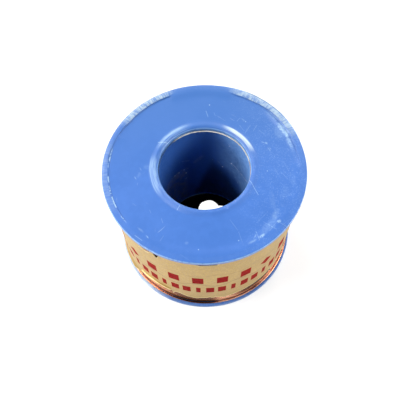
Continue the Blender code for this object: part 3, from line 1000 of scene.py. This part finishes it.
def add_ridges(profile, z, stop):
    """Add wire-shaped ridges downward from z until stop; return the next ridge's height."""
    while z > stop:
        for k in range(5):
            turn = math.pi * (k + 0.5) / 5
            profile.append((RIDGE_R + WIRE_R * math.sin(turn), z + WIRE_R * math.cos(turn)))
        z -= RIDGE_PITCH
    return z


def body_profile():
    """Winding body: ridged where it can be seen past the label's edges."""
    end = BODY_END
    high = TOP - end
    profile = [(28.9, high), (29.2, high - 0.06)]
    z = add_ridges(profile, high - 0.35, TOP - 9.5)
    profile += [(RIDGE_R, z + 0.2), (29.6, z - 0.1), (29.6, 14.2), (RIDGE_R, 13.9)]
    add_ridges(profile, 13.5, end + 0.45)
    profile += [
        (28.95, end + 0.08), (28.8, end), (24.0, end), (17.6, end), (17.5, end + 0.1),
        (17.5, 6.7), (17.4, 6.9), (16.0, 7.2), (15.9, 7.4),
        (15.9, TOP - 7.4), (16.0, TOP - 7.2), (17.4, TOP - 6.9), (17.5, TOP - 6.7),
        (17.5, TOP - end - 0.1), (17.6, TOP - end), (24.0, TOP - end),
    ]
    return profile


def coil_points(low, high, pitch, start, seed, parting=None):
    """Centre line of a slightly uneven coil; parting(angle, z) shifts it in height."""
    points = []
    for i in range(int((high - low) / pitch * COIL_STEPS) + 1):
        turns = i / COIL_STEPS
        angle = start + 360.0 * turns
        z = low + pitch * turns
        r = COIL_R + 0.030 * noise_at(turns * 0.9 + seed, seed * 2.0, 0.3)
        r += 0.010 * noise_at(turns * 7.0, seed, turns * 0.7)
        if z < 3.6:
            # the lowest turns are squeezed outward against the flange
            r += 0.18 * smooth((3.6 - z) / 0.9)
        z += 0.010 * noise_at(turns * 6.0 + seed, 4.0, turns * 0.5)
        if parting is not None:
            z += parting(angle, z)
        points.append(tuple(at(angle, r, z) / MM))
    return points


def low_parting(angle, z):
    """On the right, turns above the parting lift and turns below it drop."""
    angle = wrap(angle)
    amount = smooth((angle - 8.0) / 28.0) * smooth((160.0 - angle) / 40.0)
    centre = 4.75 + 1.9 * smooth((angle - 14.0) / 26.0)
    return 0.30 * amount * (1.0 if z > centre else -0.08) * math.exp(-abs(z - centre) / 1.4)


def last_turn_points():
    """The loose last turn at the bottom, its end sprung outward at the back right."""
    points = []
    steps, sweep_angle = 420, 350.0
    for i in range(steps + 1):
        angle = sweep_angle * i / steps
        sprung = smooth((angle - 324.0) / 26.0)
        r = 30.44 + 0.6 * sprung + 0.02 * noise_at(angle * 0.05, 3.0)
        z = 2.48 + 0.10 * sprung + 0.02 * noise_at(angle * 0.04, 9.0)
        points.append(tuple(at(140.0 + angle, r, z) / MM))
    return points


def build_wire():
    turns_copper = copper("enamelled_copper_turns")
    body_copper = copper("enamelled_copper_shaded_under", SHADED_COPPER)
    last_copper = copper("enamelled_copper_last_turn")

    body = lathe("winding_body", body_profile(), body_copper, BODY_SEGMENTS)
    register(body, "spool", replaces="winding_core")

    points = coil_points(2.16, 13.6, pitch=0.622, start=150.0, seed=2.0, parting=low_parting)
    low_turns = sweep("outer_turns_skin", points, turns_copper)
    register(low_turns, "spool", replaces="outer_turns")

    points = coil_points(TOP - 9.0, TOP - 2.75, pitch=0.625, start=20.0, seed=7.0)
    register(sweep("upper_turns_skin", points, turns_copper), "spool")

    last_turn = sweep("last_turn_skin", last_turn_points(), last_copper, sides=14)
    register(last_turn, "wire_end", replaces="last_turn")


# ---------------------------------------------------------------------- label
LABEL_R = 30.05
LABEL_THICKNESS = 0.13
LABEL_START, LABEL_END = -115.0, 275.0      # angles; the ends overlap
LABEL_COLUMNS, LABEL_ROWS = 1040, 76
FOLD_R, FOLD_BEND = 0.30, 1.35              # lower fold turned outward: radius, radians
FOLD_LENGTH = FOLD_R * FOLD_BEND + 0.34     # the arc and a straight flare beyond it
TOP_CURL_R, TOP_CURL_LENGTH = 0.55, 0.8
LEFT_EDGE = 3.05                            # lower edge of the low stretch at the left
PLAIN_EDGE = 7.9                            # lower edge elsewhere


def label_edges(angle):
    """Lower and upper edge heights of the paper, mm."""
    ragged = 0.10 * noise_at(angle * 0.35, 1.0) + 0.07 * noise_at(angle * 1.3, 5.0)
    if angle < -50.6:
        low = LEFT_EDGE
    elif angle < -23.0:
        low = (9.9 + 0.35 * math.sin(math.radians((angle + 46.0) * 9.0))
               + 0.3 * smooth((angle + 44.0) / 8.0))
        low = LEFT_EDGE + (low - LEFT_EDGE) * smooth((angle + 50.6) / 2.2)
    else:
        # tooth left by the tear, a bite after it, then the plain edge
        tooth = bump(angle, -22.6, 0.9)
        bite = smooth((angle + 21.9) / 0.8) * smooth((-12.0 - angle) / 6.0)
        low = PLAIN_EDGE + 1.6 * bite - 0.7 * tooth
        # centre and half width (degrees), rise (mm)
        for centre, half, rise in ((-7.5, 5.0, -0.75), (14.0, 9.0, -0.95), (2.0, 1.6, 0.7),
                                   (6.0, 1.4, 0.45), (30.0, 3.0, 0.25)):
            low += rise * bump(angle, centre, half)
        low += 1.4 * smooth((angle - 20.0) / 28.0) * smooth((118.0 - angle) / 36.0)
        if angle > 150.0:
            low = min(low, PLAIN_EDGE - 4.85 * smooth((angle - 150.0) / 70.0))
    high = 42.35
    high -= 1.25 * smooth((angle + 6.5) / 3.0) * smooth((9.0 - angle) / 3.0)
    high -= 4.0 * bump(angle, -29.2, 3.2)
    high -= 1.8 * smooth((angle + 46.0) / 6.0) * smooth((-30.0 - angle) / 4.0)
    high -= 1.2 * smooth((angle - 60.0) / 60.0) * smooth((250.0 - angle) / 60.0)
    return low + ragged * 0.9, high + 0.9 * ragged


def label_column(angle):
    """One column of paper, bottom to top, as (r, z, normal r, normal z, mm to the edge)."""
    low, high = label_edges(angle)
    base_r = LABEL_R + 0.27 * smooth((angle - 233.0) / 10.0)      # the end laps over the start
    fold = smooth((angle + 49.0) / 2.5) * smooth((-23.0 - angle) / 1.4)
    top_curl = smooth((angle + 44.0) / 4.0) * smooth((-31.5 - angle) / 2.0)
    edge_lift = 0.05 + 0.10 * abs(noise_at(angle * 0.11, 7.0))
    spread = max(smooth((-52.0 - angle) / 6.0), smooth((angle - 205.0) / 15.0))
    column = []
    for j in range(LABEL_ROWS + 1):
        # denser rows near both edges
        t = 0.5 - 0.5 * math.cos(math.pi * (j / LABEL_ROWS))
        z = low + (high - low) * t
        from_low = z - low
        from_high = high - z
        # gentle waviness of the paper, and edges standing off the wire
        wave = (0.030 * noise_at(angle * 0.09, z * 0.10, 2.0)
                + 0.012 * noise_at(angle * 0.4, z * 0.5, 6.0))
        r = base_r + max(0.0, wave + 0.02)
        r += edge_lift * math.exp(-from_low / 0.9) + 0.16 * math.exp(-from_high / 0.5)
        # the low stretch at the left spreads over the loose turn
        r += 0.72 * spread * math.exp(-((from_low / 1.5) ** 2))
        normal_r, normal_z = 1.0, 0.0
        if fold > 0.0 and from_low < FOLD_LENGTH:
            run = FOLD_LENGTH - from_low
            bend = min(run / FOLD_R, FOLD_BEND)
            beyond = max(0.0, run - FOLD_R * FOLD_BEND)
            r += (FOLD_R * (1.0 - math.cos(bend)) + beyond * math.sin(FOLD_BEND)) * fold
            folded_z = (low + FOLD_LENGTH - FOLD_R * math.sin(bend)
                        - beyond * math.cos(FOLD_BEND))
            z += (folded_z - z) * fold
            normal_r = math.cos(bend * fold)
            normal_z = math.sin(bend * fold)
        if top_curl > 0.0 and from_high < TOP_CURL_LENGTH:
            bend = (TOP_CURL_LENGTH - from_high) / TOP_CURL_R
            r += TOP_CURL_R * (1.0 - math.cos(bend)) * top_curl
            curled_z = high - TOP_CURL_LENGTH + TOP_CURL_R * math.sin(bend)
            z += (curled_z - z) * top_curl
            normal_r = math.cos(bend * top_curl)
            normal_z = -math.sin(bend * top_curl)
        column.append((r, z, normal_r, normal_z, min(from_low, from_high, 3.0)))
    return column


def build_label():
    bm = bmesh.new()
    edge_layer = bm.verts.layers.float.new("edge_mm")
    outer, inner = [], []
    for i in range(LABEL_COLUMNS + 1):
        angle = LABEL_START + (LABEL_END - LABEL_START) * i / LABEL_COLUMNS
        outer_column, inner_column = [], []
        for r, z, normal_r, normal_z, edge_mm in label_column(angle):
            inside = bm.verts.new(at(angle, r, z))
            outside = bm.verts.new(at(angle, r + LABEL_THICKNESS * normal_r,
                                      z + LABEL_THICKNESS * normal_z))
            inside[edge_layer] = outside[edge_layer] = edge_mm
            inner_column.append(inside)
            outer_column.append(outside)
        outer.append(outer_column)
        inner.append(inner_column)
    last, top = LABEL_COLUMNS, LABEL_ROWS
    for i in range(last):
        out_a, out_b, in_a, in_b = outer[i], outer[i + 1], inner[i], inner[i + 1]
        for j in range(top):
            bm.faces.new((out_a[j], out_b[j], out_b[j + 1], out_a[j + 1]))
            bm.faces.new((in_a[j], in_a[j + 1], in_b[j + 1], in_b[j]))
        bm.faces.new((out_a[0], in_a[0], in_b[0], out_b[0]))
        bm.faces.new((out_a[top], out_b[top], in_b[top], in_a[top]))
    for j in range(top):
        bm.faces.new((outer[0][j], outer[0][j + 1], inner[0][j + 1], inner[0][j]))
        bm.faces.new((outer[last][j], inner[last][j], inner[last][j + 1], outer[last][j + 1]))
    bmesh.ops.recalc_face_normals(bm, faces=bm.faces)
    label = new_object("seal_label_paper", bm, gold_paper())
    register(label, "label", replaces="seal_label")


# ---------------------------------------------------------------------- floor
# Light patch on the floor inside the bore, two ellipses:
# centre x, y and half widths (mm), raggedness, edge fade limits
LIGHT_PATCH = (
    (1.3, 7.6, 4.1, 4.0, 90.0, (0.96, 1.02)),
    (5.4, 8.1, 2.8, 1.05, 60.0, (0.92, 1.05)),
)


def light_patch(shader, x, y):
    wobble = (shader.noise(scale=420.0, detail=3.0) - 0.5) * 0.0022
    lit = None
    for centre_x, centre_y, half_x, half_y, ragged, fade in LIGHT_PATCH:
        across = (x - centre_x * MM) * (1.0 / (half_x * MM))
        back = (y - centre_y * MM) * (1.0 / (half_y * MM))
        ellipse = (shader.length(across, back) + wobble * ragged).fall(*fade)
        lit = ellipse if lit is None else lit.max(ellipse)
    return lit


def floor_material():
    """Pale floor; inside the bore it is dark with painted shadow, with one patch of light."""
    shader = Material("floor_white")
    x, y, z = shader.separate(shader.position)
    radius = shader.length(x, y)
    pale = shader.mix(shader.noise(scale=30.0, detail=2.0).rise(0.3, 0.7),
                      (0.92, 0.92, 0.92), (0.94, 0.94, 0.94))
    # painted shadow: the floor under the bore is near black
    shade = radius.fall(0.0151, 0.0156)
    dark = shader.mix(shader.noise(scale=260.0, detail=3.0).rise(0.35, 0.65),
                      (0.004, 0.004, 0.005), (0.016, 0.013, 0.012))
    shader.set("Base Color", shader.mix(shade, pale, dark))
    shader.set("Roughness", 0.9)
    shader.set("Specular IOR Level", 0.05)

    # what the camera sees is lifted towards white, so that only soft contact shade is left
    patch = light_patch(shader, x, y) * shade
    # a trace of light comes in under the lip on the left
    seep = radius.rise(0.01440, 0.01475) * x.fall(-0.0040, 0.0015)
    deep_shade = shader.mix(seep, (0.0, 0.0, 0.0), (0.022, 0.044, 0.095))
    white = (1.0, 1.0, 1.0)
    glow = shader.signal("Emission", {
        "Color": shader.mix(shade, white, shader.mix(patch, deep_shade, white)),
        "Strength": 1.0 + patch * 1.2})
    seen = shader.signal("LightPath", output="Is Camera Ray")
    share = seen * radius.remap(0.10, 0.30, to=(0.60, 1.0))
    surface = shader.signal("MixShader", {0: share, 1: shader.bsdf.outputs[0], 2: glow})
    shader.put(shader.tree.nodes["Material Output"].inputs["Surface"], surface)
    return shader.material


def build_floor():
    bm = bmesh.new()
    bmesh.ops.create_grid(bm, x_segments=8, y_segments=8, size=1.5)
    floor = new_object("floor", bm, floor_material())
    floor.location = (0, 0, -0.00002)


# ---------------------------------------------------------- lights and camera
WORLD = 0.52                # strength of the surroundings
WORLD_FRONT = 0.18          # share of it left at the front, where the viewer stands
WORLD_ZENITH = 0.55         # share of it left overhead
LAMP_DISTANCE = 0.6
LAMP_TARGET_Z = 0.03

# name, azimuth, elevation (degrees), radiosity given to a level surface, size (m)
LAMPS = (
    ("back_right", 67.0, 29.0, 0.22, 0.175),
    ("back_left", 112.0, 29.0, 0.145, 0.15),
    ("left_high", 146.0, 46.0, 0.20, 0.14),
    ("left_front", 190.0, 57.0, 0.50, 0.25),
    ("right", -8.0, 33.0, 0.41, 0.27),
    ("left_low", 184.0, 17.0, 0.25, 0.26),
    ("right_low", -24.0, 17.0, 0.030, 0.26),
    ("front_right_low", -62.0, 21.0, 0.014, 0.20),
)


def build_world():
    """White surroundings, full strength to the camera and dimmed for lighting."""
    world = bpy.data.worlds.new("studio")
    bpy.context.scene.world = world
    world.use_nodes = True
    graph = Graph(world.node_tree)
    background = graph.tree.nodes["Background"]
    x, y, z = graph.separate(graph.signal("TexCoord", output="Generated"))
    front = y.remap(-0.75, -0.10, to=(WORLD_FRONT, 1.0))
    zenith = z.remap(0.62, 0.94, to=(1.0, WORLD_ZENITH))
    seen = graph.signal("LightPath", output="Is Camera Ray")
    graph.put(background.inputs["Strength"], front * zenith * WORLD * (1.0 - seen) + seen)
    graph.put(background.inputs["Color"], (1.0, 1.0, 1.0, 1.0))


def build_lamp(name, azimuth, elevation, share, size):
    across, up = math.radians(azimuth), math.radians(elevation)
    data = bpy.data.lights.new(name, "AREA")
    data.energy = share * math.pi * math.pi * LAMP_DISTANCE * LAMP_DISTANCE / math.sin(up)
    data.size = size
    lamp = bpy.data.objects.new(name, data)
    bpy.context.scene.collection.objects.link(lamp)
    location = Vector((LAMP_DISTANCE * math.cos(up) * math.cos(across),
                       LAMP_DISTANCE * math.cos(up) * math.sin(across),
                       LAMP_DISTANCE * math.sin(up) + LAMP_TARGET_Z))
    lamp.location = location
    aim = Vector((0.0, 0.0, LAMP_TARGET_Z)) - location
    lamp.rotation_euler = aim.to_track_quat("-Z", "Y").to_euler()


def build_camera():
    """Camera above the front, looking down at the upper flange."""
    data = bpy.data.cameras.new("camera")
    data.lens = 45.33
    data.sensor_width = 36.0
    data.shift_x = -0.00134
    data.shift_y = 0.00157
    data.clip_start = 0.005
    camera = bpy.data.objects.new("camera", data)
    bpy.context.scene.collection.objects.link(camera)
    camera.location = (0.000731, -0.081199, 0.185400)
    camera.rotation_euler = Euler([math.radians(v) for v in (25.673, 0.2199, -0.7615)], "XYZ")
    bpy.context.scene.camera = camera

    view = bpy.context.scene.view_settings
    view.view_transform = "Standard"
    view.look = "None"
    view.exposure = 0.0
    view.gamma = 1.0


build_flanges()
build_tube()
build_wire()
build_label()
build_floor()
build_world()
for lamp_row in LAMPS:
    build_lamp(*lamp_row)
build_camera()

bpy.context.view_layer.update()
